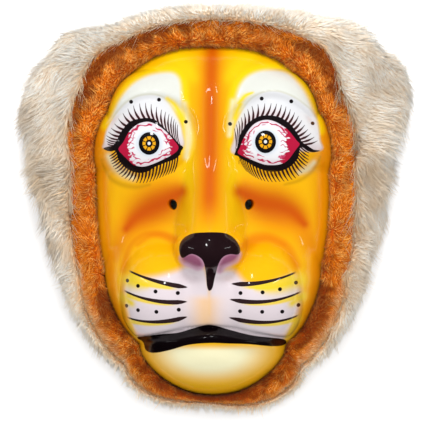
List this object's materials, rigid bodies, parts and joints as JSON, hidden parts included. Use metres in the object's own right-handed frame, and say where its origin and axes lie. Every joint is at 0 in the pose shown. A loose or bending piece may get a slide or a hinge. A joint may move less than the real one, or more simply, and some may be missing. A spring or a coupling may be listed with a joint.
{
  "type": "tiger mask",
  "caption": "Full-face big-cat mask: hollow moulded paper shell, painted and lacquered, peepholes, orange plush round the face and a long cream fur ruff outside it",
  "frame": {"origin": "middle of the whole mask's footprint, on the surface that its back edge lies on", "axes": "+Z out of the face, +Y towards the forehead, +X to the viewer's right"},
  "size_m": [0.3356, 0.3402, 0.1086],
  "materials": {
    "lacquered_paper": "layered paper, painted yellow and orange under thick gloss lacquer",
    "orange_plush": "short orange-brown pile",
    "cream_fur": "long cream pile"
  },
  "bodies": {
    "root": {"face_shell": "lacquered_paper", "orange_plush_band": "orange_plush", "cream_fur_ruff": "cream_fur"}
  },
  "joints": []
}
